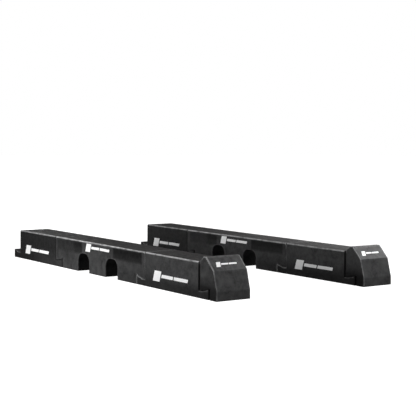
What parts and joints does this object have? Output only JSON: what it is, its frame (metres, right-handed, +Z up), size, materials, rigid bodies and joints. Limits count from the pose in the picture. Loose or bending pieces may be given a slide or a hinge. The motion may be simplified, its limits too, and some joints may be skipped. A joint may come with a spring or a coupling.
{
  "type": "leveling block set",
  "caption": "Two parallel tracks of hooked foam blocks with wheel decks, an arched bridge block between them and a sloping wheel stop, for standing a car level.",
  "frame": {"origin": "middle of the set's footprint, on the floor", "axes": "+X along the tracks towards the wheel stops (the vehicle's front), +Y towards the vehicle's left-hand track, +Z up"},
  "size_m": [3.7898, 1.9738, 0.3515],
  "materials": {
    "sprayed_coating": "satin",
    "expanded_foam": "matte",
    "base_coat": "matte",
    "mark_film": "satin"
  },
  "bodies": {
    "right_rear_block": {"right_rear_block_coating": "sprayed_coating", "right_rear_block_core": "expanded_foam", "right_rear_block_base": "base_coat", "right_rear_block_mark_minus_y": "mark_film", "right_rear_block_mark_plus_y": "mark_film"},
    "right_bridge": {"right_bridge_coating": "sprayed_coating", "right_bridge_core": "expanded_foam", "right_bridge_rear_foot": "base_coat", "right_bridge_middle_foot": "base_coat", "right_bridge_front_foot": "base_coat", "right_bridge_mark_minus_y": "mark_film", "right_bridge_mark_plus_y": "mark_film"},
    "right_front_block": {"right_front_block_coating": "sprayed_coating", "right_front_block_core": "expanded_foam", "right_front_block_base": "base_coat", "right_front_block_mark_minus_y": "mark_film", "right_front_block_mark_plus_y": "mark_film"},
    "right_stop": {"right_stop_coating": "sprayed_coating", "right_stop_core": "expanded_foam", "right_stop_base": "base_coat", "right_stop_mark": "mark_film"},
    "left_rear_block": {"left_rear_block_coating": "sprayed_coating", "left_rear_block_core": "expanded_foam", "left_rear_block_base": "base_coat", "left_rear_block_mark_minus_y": "mark_film", "left_rear_block_mark_plus_y": "mark_film"},
    "left_bridge": {"left_bridge_coating": "sprayed_coating", "left_bridge_core": "expanded_foam", "left_bridge_rear_foot": "base_coat", "left_bridge_middle_foot": "base_coat", "left_bridge_front_foot": "base_coat", "left_bridge_mark_minus_y": "mark_film", "left_bridge_mark_plus_y": "mark_film"},
    "left_front_block": {"left_front_block_coating": "sprayed_coating", "left_front_block_core": "expanded_foam", "left_front_block_base": "base_coat", "left_front_block_mark_minus_y": "mark_film", "left_front_block_mark_plus_y": "mark_film"},
    "left_stop": {"left_stop_coating": "sprayed_coating", "left_stop_core": "expanded_foam", "left_stop_base": "base_coat", "left_stop_mark": "mark_film"}
  },
  "joints": [
    {"name": "right_bridge_lift", "type": "slide", "parent": "right_rear_block", "child": "right_bridge", "axis": [0, 0, 1], "range_m": [0, 0.35]},
    {"name": "right_front_block_slide_out", "type": "slide", "parent": "right_rear_block", "child": "right_front_block", "axis": [0, -1, 0], "range_m": [0, 0.4]},
    {"name": "right_stop_lift", "type": "slide", "parent": "right_front_block", "child": "right_stop", "axis": [0, 0, 1], "range_m": [0, 0.35]},
    {"name": "left_track_shift", "type": "slide", "parent": "right_rear_block", "child": "left_rear_block", "axis": [0, 1, 0], "range_m": [-0.15, 0.2]},
    {"name": "left_bridge_lift", "type": "slide", "parent": "left_rear_block", "child": "left_bridge", "axis": [0, 0, 1], "range_m": [0, 0.35]},
    {"name": "left_front_block_slide_out", "type": "slide", "parent": "left_rear_block", "child": "left_front_block", "axis": [0, 1, 0], "range_m": [0, 0.4]},
    {"name": "left_stop_lift", "type": "slide", "parent": "left_front_block", "child": "left_stop", "axis": [0, 0, 1], "range_m": [0, 0.35]}
  ]
}
